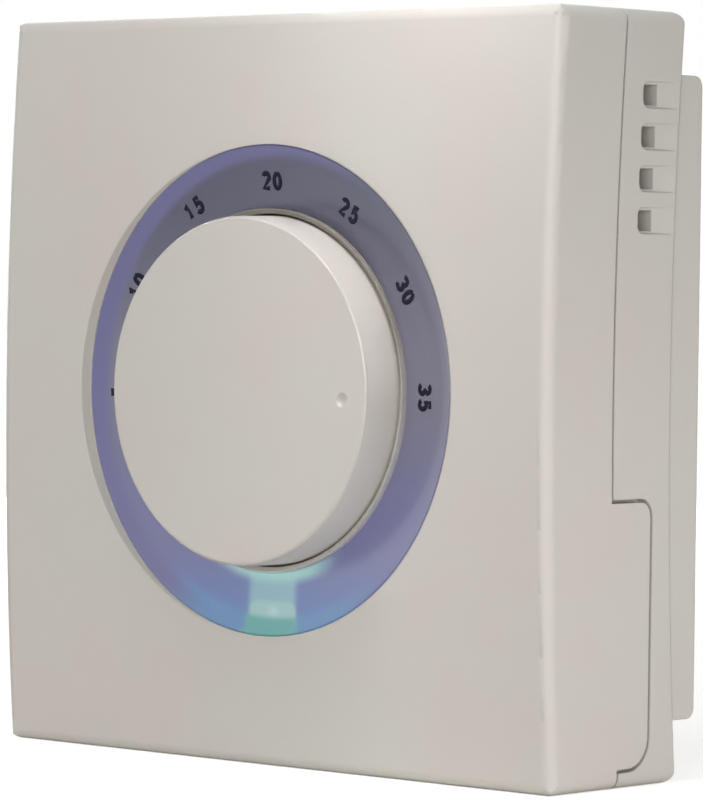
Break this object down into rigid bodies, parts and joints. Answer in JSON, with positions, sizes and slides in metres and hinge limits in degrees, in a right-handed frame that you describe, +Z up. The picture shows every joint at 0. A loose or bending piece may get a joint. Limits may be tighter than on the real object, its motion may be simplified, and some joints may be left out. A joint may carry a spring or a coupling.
{
  "type": "wall thermostat",
  "caption": "Square bowed wall thermostat with a round turning knob inside a lit, numbered dial ring, on a screw-fixed rear base with side vents.",
  "frame": {"origin": "centre of the two wall-box screw slots, on the plane of the wall", "axes": "+X to the right and +Z up as seen by the user, -Y out of the wall towards the user, +Y into the wall"},
  "size_m": [0.085, 0.0307, 0.086],
  "materials": {
    "cover_plastic": "fine spark-eroded texture, pearl cream",
    "ring_tint": "tinted clear polycarbonate, lit from behind",
    "window_diffuser": "milky light guide",
    "knob_plastic": "satin cream",
    "base_plastic": "fine spark-eroded texture, cream",
    "block_plastic": "white polyamide",
    "screw_steel": "zinc plated",
    "clamp_brass": "plain",
    "contact_bronze": "sprung bronze",
    "board_laminate": "green solder mask",
    "pin_brass": "tinned brass",
    "relay_case": "blue moulded case",
    "capacitor_film": "yellow box",
    "capacitor_sleeve": "dark sleeve",
    "varistor_coat": "dipped coating",
    "fuse_case": "brown moulded case",
    "resistor_body": "lacquered ceramic",
    "chip_epoxy": "moulded epoxy",
    "chip_ceramic": "thick film on ceramic",
    "thermistor_bead": "glass-coated bead",
    "lamp_lens": "diffused lens",
    "backlight_lens": "phosphor lens",
    "pot_case": "moulded case",
    "pot_phenolic": "printed track",
    "bush_brass": "turned",
    "wiper_plastic": "acetal",
    "shaft_steel": "turned",
    "clip_steel": "sprung"
  },
  "bodies": {
    "base": {"rear_base": "base_plastic", "terminal_block": "block_plastic", "block_screws": "screw_steel", "wire_clamps": "clamp_brass", "terminal_screws": "screw_steel", "contact_sockets": "contact_bronze"},
    "front_unit": {"front_cover": "cover_plastic", "dial_ring": "ring_tint", "light_window": "window_diffuser", "circuit_board": "board_laminate", "board_screws": "screw_steel", "contact_pins": "pin_brass", "relay": "relay_case", "dropper_capacitor": "capacitor_film", "smoothing_capacitors": "capacitor_sleeve", "varistor": "varistor_coat", "fuse": "fuse_case", "power_resistors": "resistor_body", "bridge_rectifier": "chip_epoxy", "voltage_regulator": "chip_epoxy", "microcontroller": "chip_epoxy", "chip_resistors": "chip_ceramic", "thermistor": "thermistor_bead", "status_lamp": "lamp_lens", "backlight_lamps": "backlight_lens", "pot_housing": "pot_case", "pot_track": "pot_phenolic", "pot_bush": "bush_brass"},
    "knob": {"knob": "knob_plastic", "knob_shaft": "shaft_steel", "pot_wiper": "wiper_plastic", "shaft_clip": "clip_steel"}
  },
  "joints": [
    {"name": "cover_pull", "type": "slide", "parent": "base", "child": "front_unit", "axis": [0, -1, 0], "range_m": [0, 0.03]},
    {"name": "knob_turn", "type": "hinge", "parent": "front_unit", "child": "knob", "pos_m": [0, -0.0255, 0], "axis": [0, -1, 0], "range_deg": [0, 184]}
  ]
}
